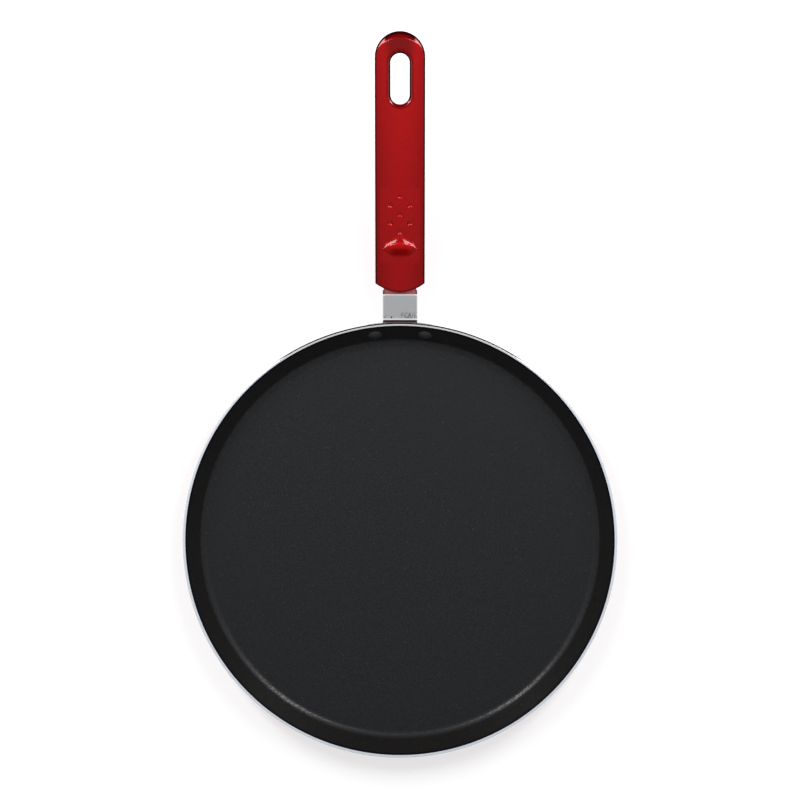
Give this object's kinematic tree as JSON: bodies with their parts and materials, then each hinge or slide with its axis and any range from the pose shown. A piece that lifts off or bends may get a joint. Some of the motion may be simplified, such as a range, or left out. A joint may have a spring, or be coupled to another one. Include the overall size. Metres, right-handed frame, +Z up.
{
  "type": "crepe pan",
  "caption": "Low crepe pan with a dark non-stick inside, a bare metal rim, a riveted steel neck and a red handle with a hanging slot and a thumb stop.",
  "frame": {"origin": "centre of the base's underside, on the plane of the hob", "axes": "+Y from the pan's centre along its handle, +Z up, +X to the right seen from above with the handle pointing away"},
  "size_m": [0.26, 0.4288, 0.0531],
  "materials": {
    "pan_aluminium": "machined rim, turned base",
    "pan_coating": "satin speckled non-stick coating",
    "pan_enamel": "glossy metallic enamel",
    "bracket_steel": "satin",
    "handle_red": "glossy metallic lacquer",
    "fastener_steel": "bright zinc"
  },
  "bodies": {
    "root": {"pan_body": "pan_aluminium", "rivet_left": "pan_aluminium", "rivet_right": "pan_aluminium", "handle_bracket": "bracket_steel", "handle_grip": "handle_red", "handle_screw": "fastener_steel", "spring_washer": "fastener_steel", "flat_washer": "fastener_steel"}
  },
  "joints": []
}
